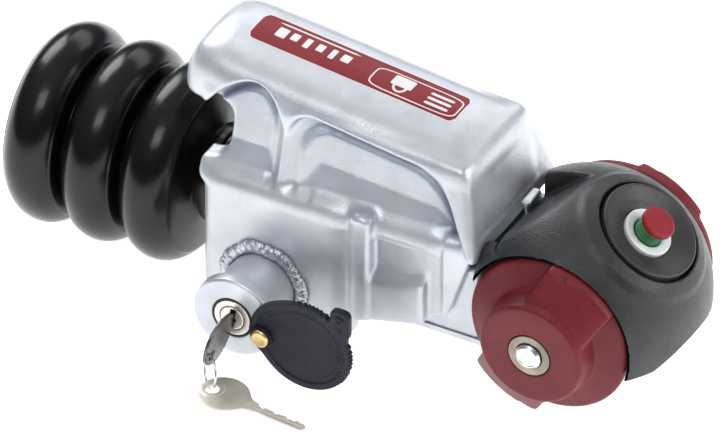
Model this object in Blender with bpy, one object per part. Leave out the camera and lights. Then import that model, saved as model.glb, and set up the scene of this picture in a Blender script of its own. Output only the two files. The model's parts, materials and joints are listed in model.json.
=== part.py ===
"""Lockable cover for a trailer coupling, fitted on its stabiliser coupling head.

A cast casing drops over the head of a ball coupling and a key lock on its side
holds it there. The head carries a friction knob on each side of its ball socket,
a soft front cover with a coupling indicator, and a rubber gaiter behind it.

The assembly frame: +X runs forward along the draw tube, +Y to the far side and
+Z up, with its origin on the tube's axis level with the middle of the ball
socket. Sizes are in millimetres and become metres as each mesh is made. The
whole assembly is pitched until the gaiter and both knobs stand on one level,
and the world's origin is the middle of the base of its bounding box.
"""
import math

import bmesh
import bpy
from mathutils import Matrix, Vector

MM = 0.001
GAP = 0.3

# Ball socket and head
BALL_Z = 2.5
SOCKET_R = 29.5
HOUSING_R = 36.0
SLEEVE_R = 24.0
SLEEVE_REAR_X = -156.0
SLEEVE_FRONT_X = -70.0
HEAD_BASE_Z = -20.5
CLAMP_BOLT_XS = (-145.0, -104.0)
CLAMP_BOLT_R = 6.0
POST_HALF = 5.0
HANDLE_PIVOT = (-54, 0, 30)

# Draw tube and gaiter
TUBE_R = 17.5
TUBE_WALL = 4.0
TUBE_REAR_X = -256.0
TUBE_FRONT_X = -92.0
RING_XS = (-248.0, -220.0, -192.0)
RING_R = 44.0
RING_HALF = 12.5
RING_DEPTH = 12.0
GAITER_WALL = 3.0
GAITER_NECK_R = 20.5
GAITER_NECK_X = -168.0

# Lock casing
CASING_REAR_X = -164.3
BLOCK_FRONT_X = -91.0
BLOCK_HALF = 40.0
SHOULDER_HALF = 35.5
BLOCK_BASE_Z = -28.0
LEDGE_Z = 32.0
HOOD_REAR_X = -180.0
HOOD_FRONT_X = -36.0
HOOD_HALF = 29.0
WALL = 3.5

# Lock
LOCK_X = -132.0
LOCK_Z = -16.5
BARREL_R = 15.3
FLANGE_R = 18.8
FLANGE_FRONT_Y = -68.0
FLANGE_BACK_Y = -62.3
PLUNGER_R = 8.5
PLUG_R = 5.5
BOLT_R = 6.0
BOLT_TIP_Y = -20.0
BOW_R = 11.0
BOW_CENTRE_Y = -79.5
BOW_CENTRE_Z = -21.5
KEY_RING_R = 7.8
KEY_WIRE_R = 0.6
RIVET_X = -115.7
RIVET_Z = -17.4
RIVET_BOSS_R = 5.2
KEY_TILT = math.radians(9.0)
COVER_CENTRE_X = -96.0
COVER_CENTRE_Z = -16.0
COVER_R = 22.0

# Side knobs
KNOB_R = 38.0
KNOB_BACK_Y = 35.5
KNOB_FRONT_Y = 54.0
KNOB_BOSS_R = 27.0
GRIP_HALF = 15.5
GRIP_REACH = 31.0
GRIP_ANGLE = math.radians(62.0)
SPINDLE_R = 5.8
WASHER_R = 9.6
PAD_R = 13.5
PAD_BACK = 30.3

# Front cover and indicator
COVER_SHELL_R = 52.0
COVER_SHELL_WALL = 3.0
COVER_BULGE = 1.09
COVER_EYE_R = 39.5
COVER_BASE_Z = -5.0
COVER_REAR_X = -33.0
INDICATOR_TILT = math.radians(54.5)
BEZEL_R = 22.8
BEZEL_RIM = 47.6
CAP_R = 7.7
CAP_TOP = 55.5

INDICATOR_AXIS = Vector((math.cos(INDICATOR_TILT), 0, math.sin(INDICATOR_TILT)))
BALL_CENTRE = Vector((0, 0, BALL_Z))
LOCK_AXIS_POINT = Vector((LOCK_X, 0, LOCK_Z))
NEAR = Vector((0, -1, 0))

BIG, MEDIUM, SMALL = 36, 24, 16


# ---------------------------------------------------------------- scene helpers
def clear_scene():
    for obj in list(bpy.data.objects):
        bpy.data.objects.remove(obj, do_unlink=True)


def material(name, colour, roughness, metallic=0.0):
    mat = bpy.data.materials.new(name)
    mat.use_nodes = True
    shader = mat.node_tree.nodes["Principled BSDF"]
    shader.inputs["Base Color"].default_value = (*colour, 1.0)
    shader.inputs["Roughness"].default_value = roughness
    shader.inputs["Metallic"].default_value = metallic
    return mat


STEEL = dict(colour=(0.62, 0.63, 0.65), roughness=0.35, metallic=1.0)
ZINC = dict(colour=(0.66, 0.63, 0.55), roughness=0.4, metallic=1.0)
CAST = dict(colour=(0.70, 0.72, 0.76), roughness=0.42, metallic=0.9)
RUBBER = dict(colour=(0.012, 0.011, 0.011), roughness=0.22)
RED = dict(colour=(0.36, 0.03, 0.04), roughness=0.5)
CHARCOAL = dict(colour=(0.05, 0.055, 0.06), roughness=0.55)
NAVY = dict(colour=(0.018, 0.018, 0.035), roughness=0.6)
NICKEL = dict(colour=(0.78, 0.75, 0.66), roughness=0.3, metallic=1.0)
BRASS = dict(colour=(0.78, 0.60, 0.26), roughness=0.3, metallic=1.0)
WHITE = dict(colour=(0.85, 0.87, 0.86), roughness=0.4)
GREEN = dict(colour=(0.03, 0.30, 0.08), roughness=0.4)


def finished(bm, pivot):
    """The bmesh as a new mesh in metres, its points taken from the pivot."""
    bmesh.ops.remove_doubles(bm, verts=bm.verts, dist=1e-4)
    bmesh.ops.translate(bm, verts=bm.verts, vec=-Vector(pivot))
    bmesh.ops.scale(bm, verts=bm.verts, vec=(MM, MM, MM))
    mesh = bpy.data.meshes.new("mesh")
    bm.to_mesh(mesh)
    bm.free()
    return mesh


def piece(name, shape, finish, pivot=(0, 0, 0)):
    """A named part of the assembly, with its origin on the pivot."""
    mesh = finished(shape, pivot)
    mesh.shade_smooth()
    mesh.set_sharp_from_angle(angle=math.radians(32))
    obj = bpy.data.objects.new(name, mesh)
    obj.data.materials.append(material(name, **finish))
    bpy.context.collection.objects.link(obj)
    obj.parent = ASSEMBLY
    obj.location = Vector(pivot) * MM
    return obj


# ---------------------------------------------------------------- solid shapes
def placed(bm, matrix):
    """A single shape moved to its place, with its faces turned to point out."""
    bmesh.ops.transform(bm, matrix=matrix, verts=bm.verts)
    bmesh.ops.recalc_face_normals(bm, faces=bm.faces)
    return bm


def toward(point, direction):
    """A matrix that takes +Z to the direction and the origin to the point."""
    turn = Vector((0, 0, 1)).rotation_difference(Vector(direction)).to_matrix()
    return Matrix.Translation(Vector(point)) @ turn.to_4x4()


def turned(profile, point, direction, steps=MEDIUM):
    """A closed (distance along, radius) outline turned about the line."""
    bm = bmesh.new()
    rings = []
    for along, radius in profile:
        if radius < 1e-6:
            rings.append([bm.verts.new((0, 0, along))])
            continue
        ring = []
        for i in range(steps):
            angle = 2 * math.pi * i / steps
            ring.append(bm.verts.new((radius * math.cos(angle), radius * math.sin(angle), along)))
        rings.append(ring)
    for first, second in zip(rings, rings[1:] + rings[:1]):
        if len(first) == 1 and len(second) == 1:
            continue
        for i in range(steps):
            j = (i + 1) % steps
            corners = [first[i % len(first)], first[j % len(first)]]
            corners += [second[j % len(second)], second[i % len(second)]]
            bm.faces.new(list(dict.fromkeys(corners)))
    return placed(bm, toward(point, direction))


def rod(point, direction, start, end, radius, steps=MEDIUM, chamfer=0.0):
    outline = [(start, 0), (start, radius - chamfer)]
    if chamfer:
        outline += [(start + chamfer, radius), (end - chamfer, radius)]
    outline += [(end, radius - chamfer), (end, 0)]
    return turned(outline, point, direction, steps)


def ring(point, direction, start, end, inner, outer, steps=MEDIUM):
    outline = [(start, inner), (start, outer), (end, outer), (end, inner)]
    return turned(outline, point, direction, steps)


def box(low, high, bevel=0.0, segments=2):
    bm = bmesh.new()
    bmesh.ops.create_cube(bm, size=1.0)
    size = Vector(high) - Vector(low)
    bmesh.ops.scale(bm, verts=bm.verts, vec=size)
    bmesh.ops.translate(bm, verts=bm.verts, vec=(Vector(low) + Vector(high)) / 2)
    if bevel:
        bmesh.ops.bevel(bm, geom=bm.edges[:], offset=bevel, segments=segments,
                        affect="EDGES", profile=0.5)
    return placed(bm, Matrix())


def plate(outline, low_y, high_y):
    """An (x, z) outline extruded across the assembly."""
    bm = bmesh.new()
    near = [bm.verts.new((x, low_y, z)) for x, z in outline]
    far = [bm.verts.new((x, high_y, z)) for x, z in outline]
    bm.faces.new(near)
    bm.faces.new(far[::-1])
    for i in range(len(outline)):
        j = (i + 1) % len(outline)
        bm.faces.new((near[i], far[i], far[j], near[j]))
    return placed(bm, Matrix())


def ball(centre, radius, steps=32):
    bm = bmesh.new()
    bmesh.ops.create_uvsphere(bm, u_segments=steps, v_segments=steps // 2, radius=radius)
    return placed(bm, Matrix.Translation(Vector(centre)))


def combined(first, second, operation):
    """The Boolean of two closed bmeshes, as a new bmesh."""
    objects = []
    for bm in (first, second):
        mesh = bpy.data.meshes.new("operand")
        bm.to_mesh(mesh)
        bm.free()
        obj = bpy.data.objects.new("operand", mesh)
        bpy.context.collection.objects.link(obj)
        objects.append(obj)
    cutter = objects[1]
    modifier = objects[0].modifiers.new("boolean", "BOOLEAN")
    modifier.operation = operation
    modifier.object = cutter
    modifier.solver = "EXACT"
    graph = bpy.context.evaluated_depsgraph_get()
    result = bmesh.new()
    result.from_object(objects[0], graph)
    for obj in objects:
        bpy.data.objects.remove(obj, do_unlink=True)
    return result


def union(*shapes):
    whole = shapes[0]
    for shape in shapes[1:]:
        whole = combined(whole, shape, "UNION")
    return whole


def cut(whole, *cutters):
    for cutter in cutters:
        whole = combined(whole, cutter, "DIFFERENCE")
    return whole


def coil(point, direction, start, end, radius, wire, turns, steps=9, sides=5):
    """A round-wire spring between two stations on a line."""
    bm = bmesh.new()
    count = int(turns * steps)
    loops = []
    for i in range(count + 1):
        angle = 2 * math.pi * i / steps
        along = start + wire + (end - start - 2 * wire) * i / count
        out = Vector((math.cos(angle), math.sin(angle), 0))
        middle = out * radius + Vector((0, 0, along))
        loop = []
        for k in range(sides):
            turn = 2 * math.pi * k / sides
            offset = out * math.cos(turn) + Vector((0, 0, 1)) * math.sin(turn)
            loop.append(bm.verts.new(middle + offset * wire))
        loops.append(loop)
    for first, second in zip(loops, loops[1:]):
        for k in range(sides):
            n = (k + 1) % sides
            bm.faces.new((first[k], first[n], second[n], second[k]))
    bm.faces.new(loops[0][::-1])
    bm.faces.new(loops[-1])
    return placed(bm, toward(point, direction))


# ---------------------------------------------------------------- gaiter and tube
def gaiter_outline():
    """The gaiter's wall as a closed (x, radius) outline."""
    outer = [(RING_XS[0] - RING_HALF - 2, 31.0)]
    for middle in RING_XS:
        for step in range(5):
            angle = math.pi * step / 4
            outer.append((middle - RING_HALF * math.cos(angle),
                          RING_R - RING_DEPTH + RING_DEPTH * math.sin(angle)))
    front = RING_XS[-1] + RING_HALF
    outer += [(front + 1.5, GAITER_NECK_R), (GAITER_NECK_X, GAITER_NECK_R)]
    bore = TUBE_R + GAP
    inner = [(GAITER_NECK_X, bore), (front - 2.0, bore), (front - 2.5, 30.0)]
    for middle in reversed(RING_XS):
        inner.append((middle + 8.0, RING_R - RING_DEPTH))
        inner.append((middle, RING_R - GAITER_WALL))
        inner.append((middle - 8.0, RING_R - RING_DEPTH))
    inner.append((RING_XS[0] - RING_HALF - 2, 28.0))
    return outer + inner


def make_gaiter():
    piece("gaiter_bellows", turned(gaiter_outline(), (0, 0, 0), (1, 0, 0), BIG), RUBBER)
    clamp = ring((0, 0, 0), (1, 0, 0), GAITER_NECK_X - 7, GAITER_NECK_X - 2,
                 GAITER_NECK_R + GAP, GAITER_NECK_R + 1.6)
    piece("gaiter_clamp", clamp, RUBBER)
    tube = ring((0, 0, 0), (1, 0, 0), TUBE_REAR_X, TUBE_FRONT_X, TUBE_R - TUBE_WALL, TUBE_R)
    for x in CLAMP_BOLT_XS:
        tube = cut(tube, rod((x, 0, 0), (0, 1, 0), -40, 40, CLAMP_BOLT_R + GAP, SMALL))
    piece("draw_tube", tube, RUBBER)


# ---------------------------------------------------------------- coupling head
def make_head():
    centre = (0, 0, BALL_Z)
    body = union(
        rod((0, 0, 0), (1, 0, 0), SLEEVE_REAR_X, SLEEVE_FRONT_X, SLEEVE_R, BIG),
        box((SLEEVE_FRONT_X - 4, -22, -18), (-22, 22, 22)),
        ball(centre, HOUSING_R, 28),
        rod(centre, (0, 1, 0), -KNOB_BACK_Y + 1, KNOB_BACK_Y - 1, 20.0),
        box((-78, -31.5, HEAD_BASE_Z), (-24, 31.5, HEAD_BASE_Z + 3)),
        box((-61, -POST_HALF, 15), (-47, POST_HALF, 37)),
        rod((LOCK_X, 0, LOCK_Z), (0, 1, 0), -35, -4, 10.0, SMALL),
    )
    body = cut(
        body,
        box((-68, -60, -60), (60, 60, HEAD_BASE_Z + 0.5)),
        rod((0, 0, 0), (1, 0, 0), SLEEVE_REAR_X - 5, TUBE_FRONT_X + 1, TUBE_R + GAP, BIG),
        ball(centre, SOCKET_R, 28),
        rod(centre, (0, 0, 1), -50, -1, SOCKET_R + 0.4),
        rod(centre, (0, 1, 0), -PAD_BACK - 0.5, PAD_BACK + 0.5, PAD_R + 0.5),
        rod(centre, (0, 1, 0), -50, 50, SPINDLE_R + 0.5, SMALL),
        rod((LOCK_X, 0, LOCK_Z), (0, 1, 0), -40, BOLT_TIP_Y + 1, BOLT_R + 0.5, SMALL),
        rod(centre, INDICATOR_AXIS, 10, 60, 4.6, SMALL),
        rod((0, 0, -8), (1, 0, 0), -66, -20, 6.3, SMALL),
        rod(HANDLE_PIVOT, (0, 1, 0), -40, 40, 4.0 + GAP, SMALL),
        *[rod((x, 0, 0), (0, 1, 0), -40, 40, CLAMP_BOLT_R + GAP, SMALL) for x in CLAMP_BOLT_XS],
    )
    piece("coupling_head", body, CAST)
    for tag, x in zip(("rear", "front"), CLAMP_BOLT_XS):
        shank_end = SLEEVE_R + 8.0
        bolt = turned([(-SLEEVE_R - 7.5, 0), (-SLEEVE_R - 7.5, 9.0), (-SLEEVE_R - GAP, 9.0),
                       (-SLEEVE_R - GAP, CLAMP_BOLT_R), (shank_end, CLAMP_BOLT_R),
                       (shank_end, 0)], (x, 0, 0), (0, 1, 0), 12)
        piece(f"clamp_bolt_{tag}", bolt, ZINC)
        nut = turned([(SLEEVE_R + GAP, CLAMP_BOLT_R + GAP), (SLEEVE_R + GAP, 9.5),
                      (SLEEVE_R + 7, 9.5), (SLEEVE_R + 7, CLAMP_BOLT_R + GAP)],
                     (x, 0, 0), (0, 1, 0), 6)
        nut = cut(nut, rod((x, 0, 0), (0, 1, 0), 20, 40, CLAMP_BOLT_R + GAP, 12))
        piece(f"clamp_nut_{tag}", nut, ZINC)
    lining = turned(lining_outline(), centre, (0, 0, 1))
    lining = cut(lining, rod(centre, INDICATOR_AXIS, 10, 60, 4.9, SMALL))
    piece("socket_lining", lining, RUBBER)


def lining_outline():
    """The friction lining over the top of the socket, as (height, radius)."""
    inside, outside = [], []
    for step in range(7):
        angle = math.radians(90 - 55 * step / 6)
        inside.append((26.0 * math.sin(angle), 26.0 * math.cos(angle) if step else 0.0))
        outside.append((29.2 * math.sin(angle), 29.2 * math.cos(angle) if step else 0.0))
    return inside + outside[::-1]


# ---------------------------------------------------------------- handle and latch
def make_handle():
    """The head's own lever, pivoted over the socket and shut under the hood."""
    side = [(-58, 25.5), (-47.5, 25.5), (-46.5, 34), (-56, 44), (-68, 50), (-150, 60), (-152, 55),
            (-82, 42), (-70, 33)]
    lever = cut(plate(side, -14, 14),
                box((-64, -POST_HALF - GAP, 10), (-40, POST_HALF + GAP, 40)),
                rod(HANDLE_PIVOT, (0, 1, 0), -40, 40, 4.0 + GAP, SMALL))
    piece("coupling_handle", lever, CHARCOAL, pivot=HANDLE_PIVOT)
    piece("handle_pivot", rod(HANDLE_PIVOT, (0, 1, 0), -16, 16, 4.0), STEEL)
    pawl = rod((0, 0, -8), (1, 0, 0), -58, -27.5, 6.0, SMALL, chamfer=1.5)
    piece("latch_pawl", pawl, STEEL, pivot=(-58, 0, -8))
    piece("latch_spring", coil((0, 0, -8), (1, 0, 0), -65.7, -58.3, 4.6, 0.6, 3.5), STEEL)


# ---------------------------------------------------------------- lock casing
def hood_outline(inset):
    """The hood's side outline in x and z, moved in by the wall's thickness."""
    rear, front = HOOD_REAR_X + inset, HOOD_FRONT_X - inset
    return [
        (rear, 58 - inset / 2), (rear, 68 - inset), (rear + 5, 76.5 - inset),
        (rear + 16, 82.5 - inset), (rear + 28, 83 - inset), (-107, 77.7 - inset),
        (front - 26, 72.5 - inset), (front - 13, 68.5 - inset), (front - 7, 60 - inset),
        (front - 3, 46), (front, 28 - inset), (-154, 28 - inset), (-154, 50),
    ]


def make_casing():
    block = box((CASING_REAR_X, -BLOCK_HALF, BLOCK_BASE_Z - 12), (BLOCK_FRONT_X, BLOCK_HALF, LEDGE_Z),
                bevel=5.0)
    block = cut(block, box((-200, -60, -60), (0, 60, BLOCK_BASE_Z)))
    nose = plate([(-104, -24), (-59.5, -13), (-48.6, -7), (-35.5, 31), (-104, 31)],
                 -SHOULDER_HALF, SHOULDER_HALF)
    hood = plate(hood_outline(0), -HOOD_HALF, HOOD_HALF)
    hood_edges = [e for e in hood.edges
                  if all(abs(abs(v.co.y) - HOOD_HALF) < 0.01 and v.co.z > 50 for v in e.verts)]
    bmesh.ops.bevel(hood, geom=hood_edges, offset=9.0, segments=2, affect="EDGES", profile=0.5)
    shell = union(block, nose, hood)
    for side in (-1, 1):
        outer, inner = side * 45, side * 24.5
        low_y, high_y = min(outer, inner), max(outer, inner)
        shell = cut(shell, box((-175, low_y, 33), (-134, high_y, 56), bevel=3.0),
                    box((-124, low_y, 33), (-64, high_y, 56), bevel=3.0))
    inner_block = box((CASING_REAR_X + WALL, -BLOCK_HALF + WALL, -60),
                      (BLOCK_FRONT_X - WALL, BLOCK_HALF - WALL, LEDGE_Z - WALL))
    inner_nose = box((-104, -SHOULDER_HALF + WALL, -60), (-20, SHOULDER_HALF - WALL, 31 - WALL))
    inner_hood = plate(hood_outline(WALL), -24.5 + WALL, 24.5 - WALL)
    neck_slot = box((-200, -TUBE_R - 5, -60), (-158, TUBE_R + 5, 40))
    rear_bite = turned([(-60, 0), (-60, 12), (60, 12), (60, 0)], (-166, 0, 44), (0, 1, 0), 24)
    shell = cut(shell, inner_block, inner_nose, inner_hood, neck_slot, rear_bite,
                box((-190, -60, 32.5), (-166, 60, 55)),
                rod(LOCK_AXIS_POINT, NEAR, 30, 60, BOLT_R + 0.6, SMALL))
    boss = box((-94, -BLOCK_HALF + 1, -40), (-64, -SHOULDER_HALF + 1, 8), bevel=1.5)
    boss = cut(boss, plate([(-130, -40), (-130, -30.6), (-59.5, -13), (-20, -3), (-20, -60)], -60, 0))
    piece("lock_casing", union(shell, boss), CAST)


# ---------------------------------------------------------------- lock
def make_lock():
    barrel = [(40.3, BOLT_R + 0.6), (40.3, BARREL_R), (-FLANGE_BACK_Y, BARREL_R),
              (-FLANGE_BACK_Y, FLANGE_R), (-FLANGE_FRONT_Y, FLANGE_R),
              (-FLANGE_FRONT_Y, PLUNGER_R + 1.1), (-FLANGE_FRONT_Y - 2, PLUNGER_R + 1.1),
              (-FLANGE_FRONT_Y - 2, PLUNGER_R + GAP), (42.5, PLUNGER_R + GAP),
              (42.5, BOLT_R + 0.6)]
    tube = turned(barrel, LOCK_AXIS_POINT, NEAR, BIG)
    tube = cut(tube, rod((RIVET_X, 0, RIVET_Z), NEAR, 64, 80, 1.5 + GAP, 12))
    piece("lock_barrel", tube, CAST)
    bead = [(40.3, BARREL_R + GAP), (40.3, 21.0), (42.5, 20.0), (44.0, BARREL_R + GAP)]
    piece("weld_bead", turned(bead, LOCK_AXIS_POINT, NEAR, BIG), CAST)
    seal = ring(LOCK_AXIS_POINT, NEAR, -FLANGE_FRONT_Y - 2 + GAP, -FLANGE_FRONT_Y,
                PLUNGER_R + GAP, PLUNGER_R + 0.9)
    piece("barrel_seal", seal, RUBBER)
    face = -FLANGE_FRONT_Y + 0.2
    plunger = [(-BOLT_TIP_Y, 0), (-BOLT_TIP_Y, BOLT_R - 1), (-BOLT_TIP_Y + 1, BOLT_R),
               (48.5, BOLT_R), (48.5, PLUNGER_R), (face, PLUNGER_R),
               (face, PLUG_R + GAP), (51.5, PLUG_R + GAP), (51.5, 0)]
    piece("lock_plunger", turned(plunger, LOCK_AXIS_POINT, NEAR), STEEL,
          pivot=(LOCK_X, FLANGE_FRONT_Y, LOCK_Z))
    piece("plunger_spring", coil(LOCK_AXIS_POINT, NEAR, 42.9, 48.1, 7.5, 0.5, 3.5), STEEL)
    plug = rod(LOCK_AXIS_POINT, NEAR, 51.8, face + 0.3, PLUG_R, SMALL)
    slot = box((LOCK_X - 1.2, -90, LOCK_Z - 4.6), (LOCK_X + 1.2, -53.5, LOCK_Z + 4.6))
    plug = cut(plug, placed(slot, KEY_TURN))
    piece("key_plug", plug, NICKEL, pivot=(LOCK_X, FLANGE_FRONT_Y, LOCK_Z))


def key_shape(x, blade_low, blade_high, blade_end, bow_centre, hole):
    """A flat key standing in the plane across the lock, in x, y and z."""
    half = 0.9
    bow = rod((x, bow_centre[0], bow_centre[1]), (1, 0, 0), -half, half, BOW_R, 28)
    blade = box((x - half, bow_centre[0], blade_low), (x + half, blade_end, blade_high))
    neck = box((x - half, bow_centre[0], blade_low), (x + half, FLANGE_FRONT_Y - 1.2, blade_high + 1.2))
    cutter = rod((x, hole[0], hole[1]), (1, 0, 0), -3, 3, 2.3, 14)
    return cut(union(bow, blade, neck), cutter)


def make_keys():
    key = key_shape(LOCK_X, LOCK_Z - 4.2, LOCK_Z + 1.4, -54.2,
                    (BOW_CENTRE_Y, BOW_CENTRE_Z), KEY_HOLE)
    piece("lock_key", placed(key, KEY_TURN), STEEL, pivot=(LOCK_X, FLANGE_FRONT_Y, LOCK_Z))
    piece("key_ring", key_ring_shape(), STEEL, pivot=tuple(RING_TOP))
    bow = rod((0, 0, 0), (0, 0, 1), -0.9, 0.9, BOW_R, 28)
    spare = union(bow, box((0, -4.4, -0.9), (14.5, 4.4, 0.9)), box((10, -3.2, -0.9), (41, 1.6, 0.9)))
    spare = cut(spare, rod((-SPARE_HOLE_BACK, 0, 0), (0, 0, 1), -3, 3, 3.1, 16))
    placed(spare, SPARE_PLACE)
    piece("spare_key", spare, NICKEL, pivot=tuple(SPARE_HOLE))


def key_ring_shape():
    """A round wire ring hanging from the key in the lock."""
    bm = bmesh.new()
    steps, sides = 28, 6
    loops = []
    for i in range(steps):
        angle = 2 * math.pi * i / steps
        out = RING_ACROSS * math.cos(angle) + RING_UP * math.sin(angle)
        loop = []
        for k in range(sides):
            turn = 2 * math.pi * k / sides
            offset = out * math.cos(turn) + RING_NORMAL * math.sin(turn)
            loop.append(bm.verts.new(RING_CENTRE + out * KEY_RING_R + offset * KEY_WIRE_R))
        loops.append(loop)
    for first, second in zip(loops, loops[1:] + loops[:1]):
        for k in range(sides):
            n = (k + 1) % sides
            bm.faces.new((first[k], first[n], second[n], second[k]))
    return placed(bm, Matrix())


def make_dust_cover():
    middle = (COVER_CENTRE_X, 0, COVER_CENTRE_Z)
    disc = rod(middle, NEAR, 69.0, 72.5, COVER_R, 32)
    arm = rod((RIVET_X, 0, RIVET_Z), NEAR, 68.9, 72.6, RIVET_BOSS_R, 24)
    web = plate([(RIVET_X - 2, RIVET_Z + 4), (RIVET_X, RIVET_Z + 12), (COVER_CENTRE_X - 13, 1.5),
                 (COVER_CENTRE_X, 2), (COVER_CENTRE_X, -34), (COVER_CENTRE_X - 13, -34.5),
                 (RIVET_X, RIVET_Z - 5)], -72.3, -69.2)
    lug = box((-83.5, -72.1, -4), (-75.5, -69.4, 8.5), bevel=1.0)
    cover = union(disc, web, arm, lug)
    cover = cut(cover, rod((RIVET_X, 0, RIVET_Z), NEAR, 60, 80, 2.2 + GAP, 14))
    piece("dust_cover", cover, NAVY, pivot=(RIVET_X, -70.5, RIVET_Z))
    rivet = turned([(64.5, 0), (64.5, 1.5), (68.3, 1.5), (68.3, 2.2), (72.8, 2.2), (72.8, 4.2),
                    (74.6, 4.0), (75.4, 2.5), (75.4, 0)], (RIVET_X, 0, RIVET_Z), NEAR, SMALL)
    piece("cover_rivet", rivet, BRASS)


# ---------------------------------------------------------------- knobs
def make_knob(side, tag):
    """A friction knob: side is -1 near and +1 far."""
    out = Vector((0, side, 0))
    body = turned([(KNOB_BACK_Y, 0), (KNOB_BACK_Y, KNOB_R - 0.8), (KNOB_BACK_Y + 0.8, KNOB_R),
                   (KNOB_BACK_Y + 3.6, KNOB_R), (KNOB_BACK_Y + 5.0, KNOB_R - 1.5),
                   (45.5, KNOB_BOSS_R + 2.5), (50.5, KNOB_BOSS_R), (KNOB_FRONT_Y, 0)],
                  BALL_CENTRE, out, BIG)
    near, far = sorted((side * 38.0, side * KNOB_FRONT_Y))
    grip = box((-GRIP_HALF, near, -GRIP_REACH), (GRIP_HALF, far, KNOB_R - 3.5), bevel=2.5, segments=2)
    turn = Matrix.Rotation(-GRIP_ANGLE + math.pi / 2, 4, "Y")
    placed(grip, Matrix.Translation(BALL_CENTRE) @ turn)
    body = union(body, grip)
    body = cut(body, rod(BALL_CENTRE, out, 30, 60, SPINDLE_R + GAP, SMALL),
               rod(BALL_CENTRE, out, KNOB_FRONT_Y - 2.2, 60, WASHER_R + GAP, SMALL))
    piece(f"{tag}_knob", body, RED, pivot=tuple(BALL_CENTRE))
    washer = ring(BALL_CENTRE, out, KNOB_FRONT_Y - 1.9, KNOB_FRONT_Y + 0.1, SPINDLE_R + GAP,
                  WASHER_R, SMALL)
    piece(f"{tag}_washer", washer, ZINC, pivot=tuple(BALL_CENTRE))
    spindle = rod(BALL_CENTRE, out, 30.6, KNOB_FRONT_Y + 2.0, SPINDLE_R, SMALL, chamfer=0.6)
    piece(f"{tag}_spindle", spindle, STEEL, pivot=tuple(BALL_CENTRE))
    dish = [(28.9, 0), (28.3, 6), (26.9, 10), (26.9, PAD_R), (PAD_BACK, PAD_R), (PAD_BACK, 0)]
    pad = turned(dish, BALL_CENTRE, out, SMALL)
    piece(f"{tag}_pad", pad, RUBBER, pivot=tuple(BALL_CENTRE))


# ---------------------------------------------------------------- front cover
def make_front_cover():
    bulge = Matrix.Diagonal((1, COVER_BULGE, 1, 1))
    shell = cut(placed(ball(BALL_CENTRE, COVER_SHELL_R), bulge),
                placed(ball(BALL_CENTRE, COVER_SHELL_R - COVER_SHELL_WALL), bulge))
    shell = cut(
        shell,
        box((-90, -90, -90), (90, 90, COVER_BASE_Z)),
        box((-90, -90, -90), (COVER_REAR_X, 90, 90)),
        rod(BALL_CENTRE, (0, 1, 0), -90, -28, COVER_EYE_R, BIG),
        rod(BALL_CENTRE, (0, 1, 0), 28, 90, COVER_EYE_R, BIG),
        box((-60, -24, 10), (-26, 24, 90), bevel=1.0),
        rod(BALL_CENTRE, INDICATOR_AXIS, 20, 90, BEZEL_R + GAP, BIG),
    )
    piece("front_cover", shell, CHARCOAL)
    bezel = turned([(41.0, 11.6), (41.0, 16.0), (44.4, BEZEL_R), (BEZEL_RIM, BEZEL_R),
                    (BEZEL_RIM, 20.5), (44.4, 14.0), (43.6, 11.6)],
                   BALL_CENTRE, INDICATOR_AXIS, BIG)
    piece("indicator_bezel", bezel, CHARCOAL)
    collar = turned([(41.0, 6.7), (41.0, 11.3), (45.6, 11.3), (46.1, 10.6), (46.1, 6.7)],
                    BALL_CENTRE, INDICATOR_AXIS)
    piece("indicator_collar", collar, WHITE)
    pin = turned([(30.5, 0), (30.5, 4.2), (43.6, 4.2), (43.6, 6.3), (CAP_TOP - 3.2, 6.3),
                  (CAP_TOP - 3.2, 0)],
                 BALL_CENTRE, INDICATOR_AXIS, SMALL)
    start = tuple(BALL_CENTRE + INDICATOR_AXIS * (CAP_TOP - 2.9))
    piece("indicator_pin", pin, GREEN, pivot=start)
    cap = rod(BALL_CENTRE, INDICATOR_AXIS, CAP_TOP - 2.9, CAP_TOP, CAP_R, 24, chamfer=0.6)
    piece("indicator_cap", cap, RED, pivot=start)
    spring = coil(BALL_CENTRE, INDICATOR_AXIS, 36.4, 43.3, 5.2, 0.5, 3.5)
    piece("indicator_spring", spring, STEEL)


# ---------------------------------------------------------------- resting place
def rest_pitch():
    """The nose-down pitch that puts the gaiter and the knobs on one level."""
    length = -RING_XS[-1]
    tube_radius = RING_DEPTH
    level = (RING_R - tube_radius) + BALL_Z
    drop = tube_radius - KNOB_R
    return math.asin(drop / math.hypot(length, level)) + math.atan2(level, length)


PITCH = rest_pitch()
BASE_HEIGHT = KNOB_R - BALL_Z * math.cos(PITCH)
MIDDLE_X = 105.8
MIDDLE_Y = 23.6

# The key stands in its lock a little off upright, and the ring hangs from its bow.
KEY_TURN = (Matrix.Translation(LOCK_AXIS_POINT) @ Matrix.Rotation(KEY_TILT, 4, "Y")
            @ Matrix.Translation(-LOCK_AXIS_POINT))
KEY_HOLE = (BOW_CENTRE_Y - 5.6, BOW_CENTRE_Z - 3.5)
RING_TURN = KEY_TURN.to_3x3() @ Matrix.Rotation(math.radians(-45), 3, "Z")
RING_ACROSS = RING_TURN.col[0]
RING_NORMAL = RING_TURN.col[1]
RING_UP = RING_TURN.col[2]
RING_TOP = KEY_TURN @ Vector((LOCK_X, *KEY_HOLE))
RING_LEAN = math.radians(30)
RING_CENTRE = RING_TOP + (KEY_RING_R - 0.7) * (RING_ACROSS * math.sin(RING_LEAN)
                                               - RING_UP * math.cos(RING_LEAN))
SPARE_ANGLE = math.radians(-40)
SPARE_HOLE = RING_CENTRE + KEY_RING_R * (RING_ACROSS * math.cos(SPARE_ANGLE)
                                         + RING_UP * math.sin(SPARE_ANGLE))
SPARE_HOLE_BACK = 5.5
SPARE_TURN = math.radians(-4)
SPARE_DIP = math.radians(1.5)
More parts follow.
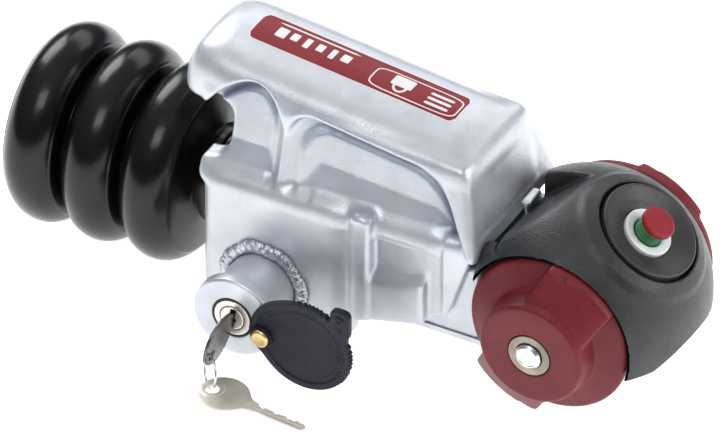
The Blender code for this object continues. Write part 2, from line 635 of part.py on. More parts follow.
SPARE_PLACE = (Matrix.Translation(SPARE_HOLE) @ Matrix.Rotation(SPARE_TURN, 4, "Z")
               @ Matrix.Rotation(SPARE_DIP, 4, "Y") @ Matrix.Translation((SPARE_HOLE_BACK, 0, 0)))


clear_scene()
ASSEMBLY = bpy.data.objects.new("assembly", None)
bpy.context.collection.objects.link(ASSEMBLY)
ASSEMBLY.rotation_euler = (0, PITCH, 0)
ASSEMBLY.location = Vector((MIDDLE_X, MIDDLE_Y, BASE_HEIGHT)) * MM
make_gaiter()
make_head()
make_handle()
make_casing()
make_lock()
make_keys()
make_dust_cover()
make_knob(-1, "near")
make_knob(1, "far")
make_front_cover()
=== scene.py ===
"""The looks of the trailer coupler lock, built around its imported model.

Every cast or moulded piece is a solid described by distance fields, which blend
into each other with real fillets, and is turned into a fine mesh here. Sizes
are in millimetres in the drawbar's own frame: +X forward along the draw tube, +Y
to the far side, +Z up, with the origin on the tube's axis level with the socket.
One matrix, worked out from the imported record, takes that frame to the row's.
"""
import json
import math

import bpy
import numpy as np
from mathutils import Matrix, Vector


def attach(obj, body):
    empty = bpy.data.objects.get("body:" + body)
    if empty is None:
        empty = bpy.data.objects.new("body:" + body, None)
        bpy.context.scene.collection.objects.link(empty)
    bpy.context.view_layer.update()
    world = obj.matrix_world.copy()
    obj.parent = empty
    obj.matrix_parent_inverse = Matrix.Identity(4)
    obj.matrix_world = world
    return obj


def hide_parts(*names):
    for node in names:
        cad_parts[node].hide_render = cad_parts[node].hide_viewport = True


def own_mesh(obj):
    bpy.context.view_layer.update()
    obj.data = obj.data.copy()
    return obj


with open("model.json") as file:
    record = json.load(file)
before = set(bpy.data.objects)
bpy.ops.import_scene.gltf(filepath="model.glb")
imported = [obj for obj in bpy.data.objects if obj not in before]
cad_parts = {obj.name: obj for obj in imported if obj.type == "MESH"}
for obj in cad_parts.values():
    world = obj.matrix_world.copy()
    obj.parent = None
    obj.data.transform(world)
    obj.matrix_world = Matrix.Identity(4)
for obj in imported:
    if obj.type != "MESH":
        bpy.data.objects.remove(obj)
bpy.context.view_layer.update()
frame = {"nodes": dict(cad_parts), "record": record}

MM = 0.001
BALL = Vector((0, 0, 2.5))
LOCK = (-132.0, 0.0, -16.5)
RIVET = (-115.7, 0.0, -17.4)
BOLT_HOLE_R = 6.6
STEPS = 96
COARSE = 1.0
FINE = 0.4 * COARSE

# The ball socket's mount gives the drawbar frame: its centre and its way out.
SOCKET = next(m for m in frame["record"]["mounts"] if m["name"] == "tow_ball_socket")
UP = -Vector(SOCKET["axis"]).normalized()
ACROSS = Vector((0, 1, 0))
FORWARD = ACROSS.cross(UP).normalized()
TURN = Matrix((FORWARD, ACROSS, UP)).transposed()
PLACE = Matrix.Translation(Vector(SOCKET["pos_m"]) - TURN @ BALL * MM) @ TURN.to_4x4()
TO_ROW = PLACE @ Matrix.Scale(MM, 4)


# ------------------------------------------------------------------ fields
def larger(a, b, blend=0.0):
    """The intersection of two fields, its edge rounded over the blend."""
    if blend <= 0:
        return np.maximum(a, b)
    near = np.maximum(blend - np.abs(a - b), 0) / blend
    return np.maximum(a, b) + near * near * blend * 0.25


def smaller(a, b, blend=0.0):
    """The union of two fields, with a fillet over the blend."""
    return -larger(-a, -b, blend)


def all_of(parts, blend=0.0):
    whole = parts[0]
    for part in parts[1:]:
        whole = larger(whole, part, blend)
    return whole


def slab(value, low, high):
    """Inside between two limits of a coordinate."""
    return np.abs(value - (low + high) / 2) - (high - low) / 2


def block(x, y, z, low, high, blend=0.0):
    return all_of([slab(x, low[0], high[0]), slab(y, low[1], high[1]),
                   slab(z, low[2], high[2])], blend)


def step_up(value, start, end):
    """0 before start, 1 after end, smooth between."""
    t = np.clip((value - start) / (end - start), 0, 1)
    return t * t * (3 - 2 * t)


def mesh_of(field, low, high, cell):
    """Surface nets: the zero level of a field as points and quads."""
    axes = [np.arange(a - cell, b + 2 * cell, cell) for a, b in zip(low, high)]
    grid = np.meshgrid(*axes, indexing="ij", sparse=True)
    value = np.broadcast_to(field(*grid), [len(a) for a in axes]).astype(np.float64)
    inside = value < 0
    cells = [n - 1 for n in value.shape]

    def corner(array, i, j, k):
        return array[i:i + cells[0], j:j + cells[1], k:k + cells[2]]

    offsets = [(i, j, k) for i in (0, 1) for j in (0, 1) for k in (0, 1)]
    count = sum(corner(inside, *o).astype(np.int8) for o in offsets)
    active = (count > 0) & (count < 8)
    number = np.full(active.shape, -1, np.int64)
    number[active] = np.arange(active.sum())
    where = np.argwhere(active)
    total = np.zeros((len(where), 3))
    hits = np.zeros(len(where))
    unit = np.eye(3, dtype=int)
    for axis in range(3):
        for start in offsets:
            if start[axis]:
                continue
            a = value[tuple((where + start).T)]
            b = value[tuple((where + start + unit[axis]).T)]
            crossed = (a < 0) != (b < 0)
            t = a[crossed] / (a[crossed] - b[crossed])
            total[crossed] += np.array(start) + t[:, None] * unit[axis]
            hits[crossed] += 1
    points = (where + total / hits[:, None]) * cell + np.array([a[0] for a in axes])
    for _ in range(3):
        points = settled(field, points, cell)
    faces = []
    for axis in range(3):
        b, c = (axis + 1) % 3, (axis + 2) % 3
        first = [slice(None)] * 3
        second = [slice(None)] * 3
        first[axis], second[axis] = slice(0, -1), slice(1, None)
        changed = inside[tuple(first)] != inside[tuple(second)]
        edges = np.argwhere(changed)
        edges = edges[(edges[:, b] > 0) & (edges[:, c] > 0)
                      & (edges[:, b] < value.shape[b] - 1) & (edges[:, c] < value.shape[c] - 1)]
        leaving = inside[tuple(edges.T)]
        ring = [edges - unit[b] - unit[c], edges - unit[c], edges, edges - unit[b]]
        quad = np.stack([number[tuple(r.T)] for r in ring], axis=1)
        faces.append(np.where(leaving[:, None], quad, quad[:, ::-1]))
    return points, np.concatenate(faces)


def settled(field, points, cell):
    """The points moved along the field's slope on to its zero level."""
    def at(p):
        return field(p[:, 0], p[:, 1], p[:, 2])

    step = cell * 0.1
    here = at(points)
    slope = np.stack([(at(points + step * e) - at(points - step * e)) / (2 * step)
                      for e in np.eye(3)], axis=1)
    steepness = np.maximum((slope ** 2).sum(axis=1), 0.2)
    move = -(here / steepness)[:, None] * slope
    length = np.linalg.norm(move, axis=1, keepdims=True)
    return points + move * np.minimum(1, 0.5 * cell / np.maximum(length, 1e-9))


# ------------------------------------------------------------------ pieces
def piece(name, points, faces, look, body, nodes, sharp=None, place=Matrix()):
    """A visible piece: its mesh in the row's frame, its body and the nodes it stands for."""
    mesh = bpy.data.meshes.new(name)
    turn = np.array(TO_ROW @ place)
    points = np.asarray(points) @ turn[:3, :3].T + turn[:3, 3]
    mesh.from_pydata(points.tolist(), [], [list(map(int, f)) for f in faces])
    mesh.update()
    mesh.shade_smooth()
    if sharp:
        mesh.set_sharp_from_angle(angle=math.radians(sharp))
    mesh.materials.append(look)
    obj = bpy.data.objects.new(name, mesh)
    bpy.context.scene.collection.objects.link(obj)
    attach(obj, body)
    if nodes:
        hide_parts(*nodes)
    return obj


def solid(name, field, low, high, cell, look, body, nodes, sharp=None, place=Matrix()):
    points, faces = mesh_of(field, low, high, cell)
    return piece(name, points, faces, look, body, nodes, sharp, place)


def lathe(outline, centre, direction, steps):
    """Points and faces of a closed (along, radius) outline turned about a line."""
    direction = np.array(direction, float)
    direction /= np.linalg.norm(direction)
    side = np.cross(direction, (0, 0, 1) if abs(direction[2]) < 0.9 else (1, 0, 0))
    side /= np.linalg.norm(side)
    up = np.cross(direction, side)
    points, rows = [], []
    for along, radius in outline:
        middle = np.array(centre, float) + direction * along
        if radius < 1e-6:
            rows.append([len(points)])
            points.append(middle)
            continue
        rows.append(list(range(len(points), len(points) + steps)))
        for i in range(steps):
            angle = 2 * math.pi * i / steps
            points.append(middle + radius * (side * math.cos(angle) + up * math.sin(angle)))
    faces = []
    for first, second in zip(rows, rows[1:] + rows[:1]):
        if len(first) == 1 and len(second) == 1:
            continue
        for i in range(steps):
            j = (i + 1) % steps
            corners = [first[i % len(first)], second[i % len(second)],
                       second[j % len(second)], first[j % len(first)]]
            faces.append(list(dict.fromkeys(corners)))
    return points, faces


def softened(outline, radius, count=4):
    """A closed outline with each corner turned into a short arc."""
    out = []
    total = len(outline)
    for i in range(total):
        before, here, after = (Vector(outline[(i + k) % total]) for k in (-1, 0, 1))
        if here.y < 1e-6:
            out.append(tuple(here))
            continue
        reach = min(radius, (before - here).length * 0.45, (after - here).length * 0.45)
        start = here + (before - here).normalized() * reach
        end = here + (after - here).normalized() * reach
        for k in range(count + 1):
            t = k / count
            point = start * (1 - t) ** 2 + here * 2 * t * (1 - t) + end * t * t
            out.append((point.x, max(point.y, 0.0)))
    return out


# ------------------------------------------------------------------ materials
class Look:
    """A node material with a Principled shader and helpers that wire nodes to it."""

    def __init__(self, name, colour, roughness, **sockets):
        self.material = bpy.data.materials.new(name)
        self.material.use_nodes = True
        self.tree = self.material.node_tree
        self.shader = self.tree.nodes["Principled BSDF"]
        self.place = self.new("ShaderNodeTexCoord").outputs["Object"]
        self.put("Base Color", (*colour, 1))
        self.put("Roughness", roughness)
        for key, value in sockets.items():
            self.put(key.replace("_", " "), value)

    def new(self, kind, **settings):
        node = self.tree.nodes.new(kind)
        for key, value in settings.items():
            if key in node.inputs:
                node.inputs[key].default_value = value
            else:
                setattr(node, key, value)
        return node

    def put(self, socket, value):
        if isinstance(value, bpy.types.NodeSocket):
            self.tree.links.new(value, self.shader.inputs[socket])
        else:
            self.shader.inputs[socket].default_value = value

    def link(self, source, target):
        self.tree.links.new(source, target)

    def noise(self, scale, detail=4.0, roughness=0.55, stretch=None):
        node = self.new("ShaderNodeTexNoise", Scale=scale, Detail=detail, Roughness=roughness)
        if stretch:
            mapping = self.new("ShaderNodeMapping", Scale=stretch)
            self.link(self.place, mapping.inputs["Vector"])
            self.link(mapping.outputs["Vector"], node.inputs["Vector"])
        else:
            self.link(self.place, node.inputs["Vector"])
        return node.outputs["Fac"]

    def ramp(self, source, low, high, dark, light):
        """A colour or number that goes from dark to light as the source rises."""
        node = self.new("ShaderNodeMapRange") if not isinstance(dark, tuple) else None
        if node:
            for key, value in (("From Min", low), ("From Max", high), ("To Min", dark),
                               ("To Max", light)):
                node.inputs[key].default_value = value
            self.link(source, node.inputs["Value"])
            return node.outputs["Result"]
        node = self.new("ShaderNodeValToRGB")
        node.color_ramp.elements[0].position = low
        node.color_ramp.elements[1].position = high
        node.color_ramp.elements[0].color = (*dark, 1)
        node.color_ramp.elements[1].color = (*light, 1)
        self.link(source, node.inputs["Fac"])
        return node.outputs["Color"]

    def bump(self, height, strength, distance):
        node = self.new("ShaderNodeBump", Strength=strength, Distance=distance)
        self.link(height, node.inputs["Height"])
        if self.shader.inputs["Normal"].is_linked:
            self.link(self.shader.inputs["Normal"].links[0].from_socket, node.inputs["Normal"])
        self.put("Normal", node.outputs["Normal"])


def metal_look(name, dark, light, rough, grain=0.0, grain_scale=900, painted_recess_shade=None, **sockets):
    """Bare or plated metal. Where a painted-shade colour is given, an ambient-occlusion node darkens its
    recesses and creases towards that colour: painted shade, not the metal's own colour.
    """
    look = Look(name, light, rough[0], **{"Metallic": 1.0, **sockets})
    colour = look.ramp(look.noise(60, 5), 0.35, 0.65, dark, light)
    if painted_recess_shade:
        # Painted shade: the occlusion node darkens the colour in recesses, creases and between parts.
        hollow = look.new("ShaderNodeAmbientOcclusion", samples=12, only_local=True, Distance=0.022)
        shade = look.ramp(hollow.outputs["AO"], 0.35, 0.92, painted_recess_shade, (1, 1, 1))
        shaded_colour = look.new("ShaderNodeVectorMath", operation="MULTIPLY")
        look.link(colour, shaded_colour.inputs[0])
        look.link(shade, shaded_colour.inputs[1])
        colour = shaded_colour.outputs["Vector"]
    look.put("Base Color", colour)
    look.put("Roughness", look.ramp(look.noise(160, 4), 0.3, 0.7, rough[0], rough[1]))
    if grain:
        look.bump(look.noise(grain_scale, 3), grain, 0.0004)
    return look.material


def plastic_look(name, dark, light, rough, grain=0.0, grain_scale=1400, **sockets):
    look = Look(name, light, rough[0], **sockets)
    look.put("Base Color", look.ramp(look.noise(90, 4), 0.35, 0.65, dark, light))
    look.put("Roughness", look.ramp(look.noise(240, 3), 0.3, 0.7, rough[0], rough[1]))
    if grain:
        look.bump(look.noise(grain_scale, 2), grain, 0.0003)
    return look.material


# The bluish colour given below is painted shade for the casing's recesses and creases.
CAST = metal_look("cast_casing", (0.56, 0.58, 0.62), (0.65, 0.675, 0.715), (0.31, 0.39), 0.3, 1100,
                  painted_recess_shade=(0.42, 0.46, 0.58), Metallic=0.5)
CAST_WELD = metal_look("cast_weld", (0.46, 0.48, 0.53), (0.68, 0.70, 0.74), (0.28, 0.42), 0.5, 1500)
HEAD = metal_look("cast_head", (0.52, 0.53, 0.56), (0.64, 0.65, 0.68), (0.34, 0.46), 0.3, 900)
TUBE = plastic_look("tube_paint", (0.012, 0.011, 0.011), (0.018, 0.017, 0.016), (0.10, 0.16))
GAITER = plastic_look("gaiter_rubber", (0.0025, 0.002, 0.0015), (0.005, 0.004, 0.003),
                      (0.18, 0.26), 0.05, 500, Specular_IOR_Level=0.35)
SEAL = plastic_look("seal_rubber", (0.008, 0.008, 0.008), (0.014, 0.014, 0.014), (0.5, 0.6))
LINING = plastic_look("friction_lining", (0.03, 0.025, 0.022), (0.06, 0.05, 0.045), (0.8, 0.9), 0.4)
ZINC = metal_look("zinc_plate", (0.20, 0.18, 0.145), (0.33, 0.30, 0.245), (0.34, 0.44), 0.15)
BRIGHT = metal_look("bright_steel", (0.72, 0.72, 0.72), (0.80, 0.80, 0.80), (0.26, 0.32))
NICKEL = metal_look("nickel", (0.66, 0.62, 0.56), (0.80, 0.76, 0.69), (0.30, 0.42), 0.08)
CREAM = plastic_look("key_nickel", (0.66, 0.62, 0.53), (0.78, 0.75, 0.66), (0.32, 0.42), 0.08,
                     Metallic=0.45)
KEY_STEEL = metal_look("key_steel", (0.12, 0.11, 0.11), (0.24, 0.23, 0.22), (0.32, 0.48), 0.2)
BRASS = metal_look("brass", (0.62, 0.46, 0.18), (0.80, 0.66, 0.34), (0.26, 0.38), 0.1)
CHARCOAL = plastic_look("charcoal_plastic", (0.011, 0.012, 0.012), (0.022, 0.024, 0.026),
                        (0.36, 0.44), 0.8, 1300)
BEZEL = plastic_look("bezel_plastic", (0.020, 0.019, 0.018), (0.030, 0.028, 0.027),
                     (0.36, 0.46), 0.4, 1700)
NAVY = plastic_look("navy_plastic", (0.005, 0.005, 0.014), (0.010, 0.010, 0.026),
                    (0.46, 0.56), 0.3, 1800, Specular_IOR_Level=0.3)
RED = plastic_look("red_plastic", (0.135, 0.006, 0.011), (0.17, 0.009, 0.015), (0.42, 0.52), 0.12,
                   Specular_IOR_Level=0.35)
CAP = plastic_look("cap_red", (0.25, 0.010, 0.018), (0.30, 0.014, 0.024), (0.42, 0.5), 0.1,
                   Specular_IOR_Level=0.35)
LABEL_RED = plastic_look("label_red", (0.20, 0.007, 0.014), (0.24, 0.010, 0.018), (0.34, 0.42),
                         Specular_IOR_Level=0.3)
INK = plastic_look("label_ink", (0.74, 0.71, 0.70), (0.80, 0.78, 0.77), (0.35, 0.42))
GREEN = plastic_look("pin_green", (0.015, 0.15, 0.045), (0.025, 0.21, 0.07), (0.35, 0.45))
WHITE = plastic_look("collar_white", (0.74, 0.77, 0.76), (0.82, 0.84, 0.83), (0.35, 0.45))


# ------------------------------------------------------------------ lock casing
WALL = 3.0
BLOCK_REAR, BLOCK_FRONT = -164.3, -91.0
BLOCK_HALF, BLOCK_TOP, BLOCK_BASE = 40.0, 33.0, -28.0
NOSE_HALF, NOSE_TOP = 35.5, 32.5
HOOD_REAR, HOOD_HALF = -180.0, 28.5
HOOD_FLOOR = 56.5
CROWN, CROWN_X, CROWN_SLOPE = 81.0, -156.0, 0.112
NOTCH_FRONT, NOTCH_TOP, NOTCH_BASE = -155.2, 56.5, 33.2
# The solid runs down past the open base, which casing_field cuts off.
SKIRT_BASE = -50.0


def hood_top(x, across):
    """The height of the hood's crowned top."""
    return CROWN - CROWN_SLOPE * (x - CROWN_X) - 2.0 * (across / 18.0) ** 2


def strut_half(z):
    """Half the width of the casing's waist, which widens down to the ledge."""
    return 27.0 + 0.28 * (64.0 - z)


def pocket(across, z, left, right, roof, panels, blends):
    """A side pocket: an opening in the side, cut in as far as its panels, grooved around."""
    opening = all_of([left, right, z - roof], blends[0])
    panels = panels - 2.0 * step_up(opening, -7.5, -3.5)
    return larger(opening, panels - across, blends[1])


def casing_solid(x, y, z):
    """The casing before it is hollowed out. Both sides are alike."""
    across = np.abs(y)
    front = x + 35.3 + 0.277 * (z - 31.5)
    body = all_of([BLOCK_REAR - x, x - BLOCK_FRONT, SKIRT_BASE - z], 6.0)
    body = all_of([body, across - BLOCK_HALF, z - BLOCK_TOP], 11.0)
    front_edge = x + 35.3 - 0.33 * (z - 32.0)
    side = NOSE_HALF - 0.03 * (x + 60) - 0.1 * np.maximum(x + 49.5, 0)
    bead = 0.5 * np.exp(-((x + 49.5) / 1.1) ** 2)
    nose = all_of([across - side - bead, z - NOSE_TOP], 9.0)
    nose = all_of([nose, -110.0 - x, front_edge, SKIRT_BASE - z], 1.6)
    rib = block(x, across, z, (-92.8, -1, -60), (-82.0, 40.6, 33.4), 4.5)
    boss = all_of([-84.7 - x, x + 57.5, across - 39.3, 0.8 * (z - 13.5 - 0.2 * (x + 62)),
                   0.62 * (across - 39.3 + z - 6.5 - 0.2 * (x + 62))], 2.4)
    hood = all_of([HOOD_REAR - x, z - hood_top(x, across)], 18.0)
    hood = all_of([hood, front], 12.0)
    taper = np.where(x > -60, 0.25 * np.maximum(58 - z, 0), 0)
    hood = all_of([hood, across - HOOD_HALF + taper + 0.0025 * np.maximum(-x - 120, 0) ** 1.5],
                  13.0)
    hood = all_of([hood, HOOD_FLOOR - z], 4.0)
    waist = all_of([-166.0 - x, across - strut_half(z), z - 64.0, 24.0 - z, front], 4.0)
    post = all_of([-60.0 - x, front, z - 62.0, 24.0 - z, across - 21.0 - 0.25 * (z - 30)], 8.0)
    upper = smaller(hood, smaller(waist, post, 3.0), 4.0)
    # Left pocket, open to the notch behind it: its front wall slopes up to the strut
    arch = 72.0 - 0.045 * np.abs(x + 145) ** 1.9
    panels = 27.0 + 0.62 * np.maximum(42.5 - z, 0) - 0.28 * np.maximum(z - 42.5, 0)
    panels = larger(panels, strut_half(z) - 0.95 * (-129.8 - x), 1.5)
    cut = pocket(across, z, -200.0 - x, x + 128.5, arch, panels, (12.0, 2.0))
    upper = larger(upper, -cut, 2.0)
    # Right pocket, whose rear end is a long sloping wall
    roof = 65.8 - CROWN_SLOPE * (x + 122)
    crease = 44.0 - 0.075 * (x + 108) - 8.0 * step_up(x, -58, -45)
    panels = 27.0 + 0.56 * np.maximum(crease - z, 0) - 0.28 * np.maximum(z - crease, 0)
    panels = larger(panels, strut_half(z) - 0.46 * (x + 123.5), 0.8)
    cut = pocket(across, z, -126.0 - x, x + 44.0 + 0.5 * (z - 36), roof, panels, (13.0, 1.6))
    upper = larger(upper, -0.9 * cut, 2.0)
    whole = smaller(body, smaller(nose, smaller(rib, boss, 1.6), 2.5), 3.5)
    whole = smaller(whole, upper, 2.6)
    notch = all_of([x - NOTCH_FRONT, z - NOTCH_TOP, NOTCH_BASE - z], 9.0)
    return larger(whole, -notch, 2.4)


def casing_field(x, y, z):
    """The hollow casing, open below and at both ends."""
    whole = casing_solid(x, y, z)
    across = np.abs(y)
    shell = larger(whole, -(whole + WALL), 0.8)
    mouth = all_of([-60.0 - x, across - 31.5, z - 27.0], 3.0)
    neck = all_of([x + 157.0, across - 22.5, z - 40.0], 4.0)
    lock_hole = np.hypot(x - LOCK[0], z - LOCK[2]) - BOLT_HOLE_R
    lock_hole = larger(lock_hole, y + 20.0)
    for cutter in (mouth, neck, lock_hole):
        shell = larger(shell, -cutter, 0.6)
    nose_base = np.maximum(-13.0 + 0.2593 * (x + 59.5), -6.5 + 0.62 * (x + 48.6))
    keep = smaller(larger(x - BLOCK_FRONT - 0.5, BLOCK_BASE - z), nose_base - z)
    return larger(shell, keep, 0.8)


def rounded_patch(centre, size, corner, steps):
    """A grid of x and y over a rectangle with rounded ends."""
    u = (np.linspace(-0.5, 0.5, steps[0] + 1) * size[0])[:, None]
    v = (np.linspace(-0.5, 0.5, steps[1] + 1) * size[1])[None, :]
    inset = np.maximum(np.abs(u) - (size[0] / 2 - corner), 0)
    half = size[1] / 2 - corner + np.sqrt(np.maximum(corner ** 2 - inset ** 2, 0))
    return centre[0] + u + 0 * v, centre[1] + v * half / (size[1] / 2)


def ring_patch(centre, half, width, start, end, power, steps):
    """A grid over a band that follows a rounded square or a circle."""
    angle = np.linspace(start, end, steps + 1)[:, None]
    reach = np.array([[0.0, width]])
    out = [np.sign(f(angle)) * np.abs(f(angle)) ** power for f in (np.cos, np.sin)]
    return centre[0] + out[0] * (half[0] - reach), centre[1] + out[1] * (half[1] - reach)


def laid_on_hood(name, grid, lift, look):
    """A thin sheet laid on the hood's crowned top."""
    x, y = (np.asarray(part, float) for part in grid)
    low, high = np.full(x.shape, 55.0), np.full(x.shape, 90.0)
    for _ in range(30):
        middle = (low + high) / 2
        solid_there = casing_solid(x, y, middle) < 0
        low, high = np.where(solid_there, middle, low), np.where(solid_there, high, middle)
    top = np.stack([x, y, low + lift], axis=-1).reshape(-1, 3)
    bottom = np.stack([x, y, low - 0.2], axis=-1).reshape(-1, 3)
    rows, columns = x.shape
    count = rows * columns
    faces = []
    for i in range(rows - 1):
        for j in range(columns - 1):
            a = i * columns + j
            faces.append((a, a + columns, a + columns + 1, a + 1))
            faces.append((count + a, count + a + 1, count + a + columns + 1, count + a + columns))
    rim = ([i * columns for i in range(rows - 1)]
           + [(rows - 1) * columns + j for j in range(columns - 1)]
           + [i * columns + columns - 1 for i in range(rows - 1, 0, -1)]
           + [j for j in range(columns - 1, 0, -1)])
    for a, b in zip(rim, rim[1:] + rim[:1]):
        faces.append((a, count + a, count + b, b))
    piece(name, np.concatenate([top, bottom]), faces, look, "root", [], 40)


def make_label():
    """A red label with a white edge and plain marks: bars, a frame and a padlock."""
    laid_on_hood("label_edge", rounded_patch((-109.5, 2.0), (98.0, 19.5), 3.4, (80, 18)), 0.12, INK)
    laid_on_hood("label_face", rounded_patch((-109.5, 2.0), (96.8, 18.3), 2.9, (80, 18)), 0.18,
                 LABEL_RED)
    marks = [((-131.5, 8.6), (38.0, 1.0))]
    for i, width in enumerate((4.6, 3.4, 2.6, 3.2, 2.4, 4.0)):
        marks.append(((-146.5 + 6.0 * i, 2.6 + 0.5 * (i % 2)), (width, 6.6 - 1.6 * (i % 2))))
    marks += [((-71.5, 4.3), (11.0, 1.6)), ((-71.5, 1.0), (11.0, 1.6)), ((-71.5, -2.3), (11.0, 1.6)),
              ((-89.5, 3.4), (9.6, 6.6))]
    for i, (centre, size) in enumerate(marks):
        laid_on_hood(f"label_mark_{i}", rounded_patch(centre, size, 0.45, (14, 4)), 0.24, INK)
    laid_on_hood("label_frame", ring_patch((-82.5, 1.2), (20.5, 6.9), 0.6, 0, 2 * math.pi, 0.35, 160),
                 0.24, INK)
    laid_on_hood("label_shackle", ring_patch((-89.5, 0.2), (3.3, 3.9), 1.1, math.pi, 2 * math.pi, 1.0,
                                             24), 0.24, INK)


def make_casing():
    solid("casing_shell", casing_field, (-181, -41, -29), (-34, 41, 84), 0.8 * COARSE,
          CAST, "root", ["lock_casing"])


# ------------------------------------------------------------------ gaiter and tube
RINGS = (-248.0, -220.0, -192.0)
CORE_R, RING_RISE, RING_HALF = 31.0, 13.0, 12.9
RIDGE_AT, RIDGE_RISE, RIDGE_WIDTH = 11.6, 0.7, 0.55
RUBBER = 3.0
TUBE_BORE, TUBE_R = 13.5, 17.5


def gaiter_radius(x):
    """The outside of the bellows: three round rings with small ridges between them."""
    radius = CORE_R
    for middle in RINGS:
        part = 1 - ((x - middle) / RING_HALF) ** 2
        if part > 0:
            radius = max(radius, CORE_R + RING_RISE * math.sqrt(part))
    for middle in RINGS:
        for flank in (-RIDGE_AT, RIDGE_AT):
            radius += RIDGE_RISE * math.exp(-((x - middle - flank) / RIDGE_WIDTH) ** 2)
    return radius


def make_gaiter():
    start, end = -260.9, -179.6
    count = 260
    xs = [start + (end - start) * i / count for i in range(count + 1)]
    outer = [(-262.5, 28.2), (-262.5, 30.6), (-262.1, 31.0)] + [(x, gaiter_radius(x)) for x in xs]
    outer += [(-178.6, 29.6), (-177.8, 27.0), (-177.2, 23.4), (-176.0, 21.2), (-174.9, 20.4),
              (-169.6, 20.4), (-169.2, 21.3), (-168.3, 21.3), (-168.0, 20.8), (-168.0, 17.9)]
    inner = [(-176.6, 17.9), (-179.4, 22.5), (-181.0, 27.5)]
    inner += [(x, gaiter_radius(x) - RUBBER) for x in xs[::-2] if -257.5 < x < -183]
    inner += [(-259.5, 28.0)]
    points, faces = lathe(outer + inner, (0, 0, 0), (1, 0, 0), STEPS * 2)
    piece("gaiter", points, faces, GAITER, "root", ["gaiter_bellows"], 50)
    band = softened([(-174.8, 20.5), (-174.8, 22.0), (-170.2, 22.0), (-170.2, 20.5)], 0.5)
    points, faces = lathe(band, (0, 0, 0), (1, 0, 0), STEPS)
    piece("gaiter_band", points, faces, GAITER, "root", ["gaiter_clamp"], 40)
    tube = softened([(-256, TUBE_BORE), (-256, TUBE_R), (-92, TUBE_R), (-92, TUBE_BORE)], 0.6)
    points, faces = lathe(tube, (0, 0, 0), (1, 0, 0), STEPS)
    piece("tube", points, faces, TUBE, "root", ["draw_tube"], 40)


# ------------------------------------------------------------------ lock
OUTWARD = (0, -1, 0)


def make_lock():
    barrel = softened([(40.3, 6.6), (40.3, 15.3), (59.3, 15.3), (59.8, 14.9), (60.3, 15.3),
                       (60.3, 16.9), (61.9, 16.9), (61.9, 16.2), (62.5, 16.2), (62.5, 18.8),
                       (67.1, 18.8), (68.0, 17.9), (68.0, 9.6), (66.2, 9.6), (66.2, 8.8),
                       (42.5, 8.8), (42.5, 6.6)], 0.4)
    points, faces = lathe(barrel, LOCK, OUTWARD, STEPS)
    piece("barrel", points, faces, CAST, "root", ["lock_barrel"], 25)
    seal = softened([(66.4, 8.8), (66.4, 9.5), (68.1, 9.5), (68.1, 8.8)], 0.2)
    points, faces = lathe(seal, LOCK, OUTWARD, STEPS)
    piece("seal", points, faces, SEAL, "root", ["barrel_seal"], 40)
    plunger = softened([(20, 0), (20, 5), (21, 6), (48.5, 6), (48.5, 8.5), (68.2, 8.5),
                        (68.2, 5.8), (51.5, 5.8), (51.5, 0)], 0.35)
    points, faces = lathe(plunger, LOCK, OUTWARD, STEPS)
    piece("plunger", points, faces, NICKEL, "plunger", ["lock_plunger"], 35)
    solid("plug", plug_field, (-138, -69, -22.5), (-126, -51, -10.5), FINE, NICKEL, "plug",
          ["key_plug"], 40)
    solid("weld", weld_field, (-156, -46, -40), (-108, -40, 8), 0.5 * COARSE, CAST_WELD, "root",
          ["weld_bead"])


def plug_field(x, y, z):
    """The turning plug, with its key slot and one ward beside it."""
    px, pz, out = x - LOCK[0], z - LOCK[2], -y
    across = px * math.cos(KEY_TILT) - pz * math.sin(KEY_TILT)
    height = px * math.sin(KEY_TILT) + pz * math.cos(KEY_TILT)
    body = all_of([np.hypot(px, pz) - 5.5, out - 68.4, 51.9 - out], 0.4)
    slot = all_of([np.abs(across) - 1.2, np.abs(height) - 4.6, 53.5 - out], 0.3)
    ward = all_of([slab(across, 1.0, 2.0), slab(height, -1.6, 0.2), 60.0 - out], 0.2)
    return larger(body, -smaller(slot, ward), 0.3)


def weld_field(x, y, z):
    """A hand-laid bead: a ring of overlapping beads with a crumbled outer edge."""
    px, pz, out = x - LOCK[0], z - LOCK[2], -y
    radius, angle = np.hypot(px, pz), np.arctan2(pz, px)
    ripple = np.sin(17 * angle + 2.6 * np.sin(5 * angle)) + 0.6 * np.sin(43 * angle + 4 * np.sin(2 * angle))
    crumble = np.sin(71 * angle + 5 * np.sin(3 * angle)) * np.sin(radius * 2.2 + 9 * angle)
    middle = 17.6 + 0.45 * np.sin(7 * angle + 0.7) + 0.12 * ripple
    bead = np.hypot((radius - middle) / 1.3, out - 40.6) - 2.5 - 0.16 * ripple - 0.22 * crumble
    return all_of([bead, 40.3 - out, 15.6 - radius, radius - 21.4], 0.4)


# ------------------------------------------------------------------ keys
KEY_TILT = math.radians(9.0)
BOW_DROP = 5.0
LOCK_BOW = Vector((LOCK[0], -79.5, LOCK[2] - BOW_DROP))
KEY_TURN = (Matrix.Translation(LOCK) @ Matrix.Rotation(KEY_TILT, 4, "Y")
            @ Matrix.Translation(-Vector(LOCK)))
RING_CENTRE = (-131.81, -87.61, -31.36)
SPARE_HOLE = Vector((-128.42, -91.84, -36.97))
SPARE_PLACE = (Matrix.Translation(SPARE_HOLE) @ Matrix.Rotation(math.radians(-4), 4, "Z")
               @ Matrix.Rotation(math.radians(1.5), 4, "Y") @ Matrix.Translation((5.5, 0, 0)))


